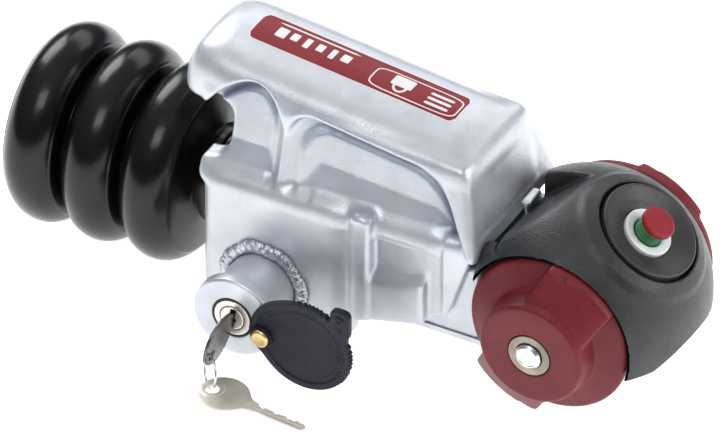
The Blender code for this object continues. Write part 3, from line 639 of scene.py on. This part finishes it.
def key_field(low, high, tip, hole, hole_radius):
    """A flat key: its round bow narrows into a grooved blade with cuts along one edge."""
    def field(u, v, w):
        middle, half = (low + high) / 2, (high - low) / 2
        bow = np.hypot(u, v) - 10.9
        width = half + 0.6 + 5.6 * (1 - step_up(u, 3.0, 15.0))
        neck = all_of([2.0 - u, u - 16.0, np.abs(v - middle * step_up(u, 0, 12)) - width], 0.5)
        cuts = 0.55 * (1 + np.sin(1.45 * u) * np.cos(0.6 * u + 1)) * step_up(u, 15.5, 17)
        blade = all_of([10.0 - u, 0.8 * (u - tip + np.abs(v - middle) * 0.7), low - v,
                        v - high + cuts], 0.3)
        shape = smaller(smaller(bow, neck, 3.0), blade, 1.0)
        from_hole = np.hypot(u - hole[0], v - hole[1])
        rim = 0.14 * np.clip((1.3 - np.abs(from_hole - hole_radius - 1.1)) * 3, 0, 1)
        grooves = 0.42 * np.clip((0.42 - np.abs(np.abs(v - middle) - 0.85)) * 6, 0, 1)
        grooves = grooves * step_up(u, 11.5, 12.5)
        key = larger(shape, np.abs(w) - 0.76 - rim + grooves, 0.3)
        return larger(key, hole_radius - from_hole, 0.3)
    return field


def make_keys():
    upright = Matrix(((0, 0, 1, 0), (1, 0, 0, 0), (0, 1, 0, 0), (0, 0, 0, 1)))
    solid("key", key_field(0.9, 6.3, 25.3, (-5.6, -3.5), 2.3), (-11.5, -11.5, -1), (26, 11.5, 1),
          FINE, KEY_STEEL, "key", ["lock_key"], 50,
          KEY_TURN @ Matrix.Translation(LOCK_BOW) @ upright)
    solid("second_key", key_field(-2.7, 2.1, 41.0, (-5.5, 0.0), 3.05), (-11.5, -11.5, -1),
          (41.5, 11.5, 1), FINE, CREAM, "spare", ["spare_key"], 50, SPARE_PLACE)
    wire = [(0.6 * math.sin(2 * math.pi * i / 10), 7.8 + 0.6 * math.cos(2 * math.pi * i / 10))
            for i in range(10)]
    normal = (Matrix.Rotation(KEY_TILT, 3, "Y") @ Matrix.Rotation(math.radians(-45), 3, "Z")).col[1]
    points, faces = lathe(wire, RING_CENTRE, tuple(normal), 64)
    piece("wire_ring", points, faces, BRIGHT, "ring", ["key_ring"])


# ------------------------------------------------------------------ dust cover
def dust_cover_field(x, y, z):
    """The dust cover: a toothed disc with a lug, and the arm and collar at its rivet."""
    out = -y
    cx, cz = x + 96.0, z + 16.0
    rx, rz = x - RIVET[0], z - RIVET[2]
    angle = np.arctan2(cz, cx)
    outline = np.hypot(cx * 0.97, cz) - 21.2
    outline = smaller(outline, np.hypot(x + 109.5, z + 12.5) - 10.8, 8.0)
    outline = smaller(outline, np.hypot(rx, rz) - 5.0, 5.0)
    teeth = np.sin(angle * 57 + 2 * np.sin(angle * 9)) * 0.36
    toothed = step_up(angle, -0.75, -0.6) * (1 - step_up(angle, 1.75, 1.9))
    outline = outline + teeth * toothed
    lug = all_of([slab(x, -83.6, -74.6), slab(z, -6.0, 8.4)], 3.4)
    outline = smaller(outline, lug, 1.6)
    boss = np.hypot(x + 79.2, z - 3.6)
    face = 71.6 + 0.5 * step_up(outline, -3.4, -2.9)
    face = face + 0.35 * np.clip((0.5 - np.abs(outline + 5.2)) * 3, 0, 1) * step_up(angle, -1.1, -0.9)
    face = face + 0.7 * (1 - step_up(boss, 1.9, 2.3)) - 0.4 * (1 - step_up(boss, 0.8, 1.1))
    plate = all_of([outline, out - face, 69.1 - out], 0.5)
    rivet = np.hypot(rx, rz)
    collar = all_of([rivet - 5.15, 69.0 - out, out - 73.4], 0.4)
    collar = larger(collar, -all_of([slab(rivet, 4.85, 5.4), slab(out, 72.5, 72.8)], 0.1))
    whole = smaller(plate, collar, 0.3)
    seat = smaller(rivet - 2.5, larger(rivet - 4.45, 72.7 - out))
    return larger(whole, -seat, 0.2)


def make_dust_cover():
    solid("dust_flap", dust_cover_field, (-125, -74, -39), (-73.8, -68.5, 9), 0.4 * COARSE, NAVY,
          "dust_cover", ["dust_cover"], 45)
    rivet = softened([(64.5, 0), (64.5, 1.5), (68.3, 1.5), (68.3, 2.2), (72.8, 2.2), (72.8, 4.2),
                      (74.5, 4.2), (75.3, 3.4), (75.4, 0)], 0.5)
    points, faces = lathe(rivet, RIVET, OUTWARD, 48)
    piece("rivet", points, faces, BRASS, "root", ["cover_rivet"], 40)


# ------------------------------------------------------------------ knobs
GRIP = math.radians(60.5)
KNOB_FACE = 54.0
WING_R, WING_BACK = 37.9, 35.5
SPINDLE_HOLE_R = 6.1
# Each rim's radius, back and edge. The two sides differ.
RIMS = {"near": (-1, (36.4, 32.9, 36.6)), "far": (1, (38.0, 35.5, 39.2))}


def knob_field(side, rim_r, rim_back, rim_edge):
    """A friction knob: a sloping rim, a round boss and one grip bar across them."""
    def field(x, y, z):
        out = side * y
        px, pz = x - BALL.x, z - BALL.z
        radius = np.hypot(px, pz)
        over = pz * math.cos(GRIP) - px * math.sin(GRIP)
        along = px * math.cos(GRIP) + pz * math.sin(GRIP)
        rim = all_of([radius - rim_r, rim_back - out, out - rim_edge], 1.4)
        cone = all_of([radius - rim_r + 0.6, rim_back - out,
                       0.9 * (out - rim_edge - 0.46 * (rim_r - radius))], 1.2)
        boss = all_of([radius - 23.6 - 0.1 * (KNOB_FACE - out), rim_back - out,
                       out - KNOB_FACE + 0.5 * (radius / 24) ** 2], 2.4)
        top = KNOB_FACE - 0.45 - 0.35 * (radius - 21.5 + np.hypot(radius - 21.5, 3.0))
        wing = all_of([np.abs(over) - 15.2 - 0.07 * (KNOB_FACE - out), radius - WING_R,
                       WING_BACK - out], 0.8)
        wing = larger(wing, 0.84 * (out - top), 1.5)
        whole = smaller(smaller(rim, cone, 0.6), smaller(boss, wing, 0.8), 1.2)
        nick = all_of([slab(np.abs(along), 34.6, 36.4), slab(over * np.sign(along), 8.0, 20.0),
                       top - 0.9 - out], 0.5)
        seat = larger(radius - 9.9, 52.0 - out)
        for cutter in (nick, seat, radius - SPINDLE_HOLE_R):
            whole = larger(whole, -cutter, 0.4)
        return whole
    return field


def make_knobs():
    for tag, (side, rim) in RIMS.items():
        low, high = sorted((side * 32.4, side * 54.6))
        solid(f"{tag}_dial", knob_field(side, *rim), (-39, low, -36.5), (39, high, 41.5), 0.6 * COARSE,
              RED, f"{tag}_knob", [f"{tag}_knob"])
        washer = softened([(52.15, 6.1), (52.15, 9.6), (54.1, 9.6), (54.1, 6.1)], 0.45)
        points, faces = lathe(washer, BALL, (0, side, 0), STEPS)
        piece(f"{tag}_ring", points, faces, ZINC, f"{tag}_knob", [f"{tag}_washer"], 40)
        bolt = [(30.6, 0), (30.6, 5.5), (30.9, 5.8), (54.9, 5.8), (55.9, 4.7), (56.0, 4.2),
                (55.7, 3.9), (55.6, 0)]
        points, faces = lathe(bolt, BALL, (0, side, 0), 64)
        piece(f"{tag}_bolt", points, faces, BRIGHT, f"{tag}_knob", [f"{tag}_spindle"],
              25)


# ------------------------------------------------------------------ front cover
TILT = math.radians(54.5)
AXIS = Vector((math.cos(TILT), 0, math.sin(TILT)))
SHELL_R, SHELL_WALL = 52.0, 3.0
# How far y counts in the cover's round (less makes that side wider), and the radius of the
# opening around the knob. The two sides differ.
NEAR_REACH, FAR_REACH = 0.885, 0.99
NEAR_EYE, FAR_EYE = 37.6, 38.9


def cover_field(x, y, z):
    """The front cover: a shell round the ball housing, open below and behind."""
    px, pz = x - BALL.x, z - BALL.z
    rise = px * AXIS.x + pz * AXIS.z
    over = pz * AXIS.x - px * AXIS.z
    from_axis = np.sqrt(over ** 2 + y ** 2)
    from_ball = np.hypot(px, pz)
    reach = np.where(y < 0, NEAR_REACH, FAR_REACH)
    radius = np.sqrt(px ** 2 + (reach * y) ** 2 + pz ** 2)
    raised = 0.9 * (1 - step_up(from_axis, 29.0, 32.0)) * (rise > 0)
    outer = radius - SHELL_R + 0.4 - raised
    scoop = 0.76 * (z - 57.2 - 0.845 * x + 0.1 * y)
    outer = larger(outer, -larger(-scoop, y - 8.0, 1.0), 2.0)
    shell = larger(outer, -SHELL_WALL - outer, 0.8)
    ear = all_of([-34.8 - x, 24.8 - np.abs(y), z - 31.5], 1.0)
    rear = smaller(-26.0 - x, ear, 1.5)
    eye = larger(from_ball - np.where(y < 0, NEAR_EYE, FAR_EYE), 28.0 - np.abs(y))
    low = -0.8 - 0.0095 * np.minimum(y ** 2, 750.0)
    hole = larger(from_axis - 23.8, 20.0 - rise)
    shell = all_of([shell, rear, low - z, -eye, -hole], 1.0)
    backing = all_of([slab(np.abs(y), 30.6, 32.4), slab(from_ball, 34.5, 42.5), outer + 1.0,
                      -22.0 - x, low - z], 0.6)
    return smaller(shell, backing, 0.6)


def tab_field(x, y, z):
    """The head's catch, which stands up behind the cover."""
    leaf = all_of([slab(x + 0.15 * (z - 40), -28.4, -26.2), np.abs(y + 1.0) - 5.5,
                   slab(z, 24.0, 40.5)], 1.4)
    lip = all_of([slab(x, -29.0, -25.0), np.abs(y + 1.0) - 5.5, slab(z, 38.6, 40.8)], 1.2)
    return smaller(leaf, lip, 1.2)


def cheek_field(x, y, z):
    """The head's cheeks, which fill it out over its flange ahead of the casing."""
    return all_of([slab(x, -66.0, -35.0), slab(np.abs(y), 14.0, 31.0), slab(z, -18.5, 18.0)], 3.0)


def turned_piece(name, outline, steps, look, body, node, sharp=30):
    points, faces = lathe(outline, BALL, tuple(AXIS), steps)
    return piece(name, points, faces, look, body, [node], sharp)


def make_front_cover():
    solid("hood_cover", cover_field, (-35.5, -38, -10), (52.8, 38, 56), 0.6 * COARSE, CHARCOAL,
          "root", ["front_cover"])
    solid("catch_tab", tab_field, (-33, -8, 22), (-22, 6, 42), FINE, HEAD, "root", [])
    solid("head_cheeks", cheek_field, (-68, -33, -20), (-33, 33, 20), 0.6 * COARSE, CAST, "root",
          [])
    bezel = softened([(40.4, 11.4), (40.4, 25.6), (41.4, 25.6), (41.6, 22.3), (48.0, 22.3),
                      (48.5, 21.6), (48.1, 20.2), (46.4, 15.5), (45.6, 11.4)], 0.6)
    turned_piece("bezel", bezel, STEPS, BEZEL, "root", "indicator_bezel", 50)
    collar = softened([(41.0, 6.7), (41.0, 11.0), (46.7, 11.0), (46.9, 10.4), (46.5, 7.6),
                       (45.9, 6.7)], 0.4)
    turned_piece("collar", collar, 72, WHITE, "root", "indicator_collar", 50)
    thread = [(30.5, 0), (30.5, 4.2), (43.6, 4.2), (43.6, 5.7)]
    for k in range(36):
        thread.append((43.9 + k * 0.23, 5.85 + 0.42 * math.sin(k * 0.23 * 2 * math.pi / 1.9)))
    thread += [(52.3, 6.0), (52.3, 0)]
    turned_piece("pin", thread, 64, GREEN, "indicator", "indicator_pin", 60)
    cap = softened([(52.6, 0), (52.6, 6.9), (53.0, 7.4), (55.0, 7.4), (55.5, 6.8), (55.4, 0)], 0.4)
    turned_piece("cap", cap, 64, CAP, "indicator", "indicator_cap", 40)


# ------------------------------------------------------------------ camera and light
def make_camera():
    azimuth, elevation = math.radians(28.5), math.radians(37.0)
    back = Vector((math.sin(azimuth) * math.cos(elevation), -math.cos(azimuth) * math.cos(elevation),
                   math.sin(elevation)))
    camera = bpy.data.objects.new("camera", bpy.data.cameras.new("camera"))
    bpy.context.scene.collection.objects.link(camera)
    target = Vector((-108.4, 0.0, 0.0))
    distance, view_width, sensor = 5000.0, 301.6, 36.0
    camera.data.sensor_width = sensor
    camera.data.lens = sensor * distance / view_width
    camera.data.clip_start, camera.data.clip_end = 0.01, 100
    turn = (-back).to_track_quat("-Z", "Y").to_matrix().to_4x4()
    camera.matrix_world = PLACE @ Matrix.Translation((target + back * distance) * MM) @ turn
    bpy.context.scene.camera = camera


def make_light():
    scene = bpy.context.scene
    world = bpy.data.worlds.new("studio")
    scene.world = world
    world.use_nodes = True
    tree = world.node_tree
    background = tree.nodes["Background"]
    coordinates = tree.nodes.new("ShaderNodeTexCoord")
    separate = tree.nodes.new("ShaderNodeSeparateXYZ")
    ramp = tree.nodes.new("ShaderNodeValToRGB")
    tree.links.new(coordinates.outputs["Generated"], separate.inputs["Vector"])
    tree.links.new(separate.outputs["Z"], ramp.inputs["Fac"])
    tree.links.new(ramp.outputs["Color"], background.inputs["Color"])
    for element, place, colour in zip((ramp.color_ramp.elements[0], ramp.color_ramp.elements[1],
                                       ramp.color_ramp.elements.new(0.5)),
                                      (0.0, 0.85, 0.45),
                                      ((0.10, 0.13, 0.20), (1.0, 1.0, 1.0), (0.34, 0.38, 0.46))):
        element.position = place
        element.color = (*colour, 1)
    background.inputs["Strength"].default_value = 0.62
    scene.view_settings.view_transform = "Standard"

    def area(name, place, aim, size, power, colour=(1, 1, 1)):
        data = bpy.data.lights.new(name, "AREA")
        data.shape = "RECTANGLE"
        data.size, data.size_y = size
        data.energy = power
        data.color = colour
        light = bpy.data.objects.new(name, data)
        scene.collection.objects.link(light)
        place, aim = Vector(place), Vector(aim)
        light.location = place
        light.rotation_mode = "QUATERNION"
        light.rotation_quaternion = (aim - place).to_track_quat("-Z", "Y")

    area("key", (0.1, -0.7, 1.0), (0, 0, 0.03), (0.6, 0.4), 3.2)
    area("top", (-0.75, 0.5, 0.85), (0, 0, 0.03), (0.6, 0.6), 8.0)
    area("front", (1.0, 0.25, 0.5), (0, 0, 0.05), (0.5, 0.5), 5.0)
    area("back", (0.0, 0.9, 0.7), (0, 0, 0.05), (1.0, 0.4), 2.4)

    floor_mesh = bpy.data.meshes.new("floor")
    reach = 4.0
    floor_mesh.from_pydata([(-reach, -reach, 0), (reach, -reach, 0), (reach, reach, 0),
                            (-reach, reach, 0)], [], [(0, 1, 2, 3)])
    floor = bpy.data.objects.new("floor", floor_mesh)
    scene.collection.objects.link(floor)
    paper = Look("paper", (0.9, 0.9, 0.9), 0.9)
    paper.put("Emission Color", (1, 1, 1, 1))
    paper.put("Emission Strength", 0.95)
    floor_mesh.materials.append(paper.material)


# ------------------------------------------------------------------ CAD nodes that stay
KEPT = {
    "coupling_head": HEAD, "clamp_bolt_rear": ZINC, "clamp_bolt_front": ZINC,
    "clamp_nut_rear": ZINC, "clamp_nut_front": ZINC, "socket_lining": LINING,
    "handle_pivot": BRIGHT, "latch_spring": BRIGHT, "plunger_spring": BRIGHT,
    "indicator_spring": BRIGHT, "coupling_handle": TUBE, "latch_pawl": BRIGHT,
    "near_pad": LINING, "far_pad": LINING,
}
for node, look in KEPT.items():
    slots = frame["nodes"][node].material_slots
    for entry in slots:
        entry.material = look

for node, joint, axis, seat, keep in (
        ("indicator_spring", "indicator_press", AXIS, BALL + 36.4 * AXIS, 0.37),
        ("latch_spring", "latch_slide", Vector((1, 0, 0)), Vector((-65.7, 0, -8)), 0.60)):
    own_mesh(frame["nodes"][node])

make_camera()
make_light()
make_casing()
make_gaiter()
make_lock()
make_keys()
make_dust_cover()
make_knobs()
make_front_cover()
make_label()
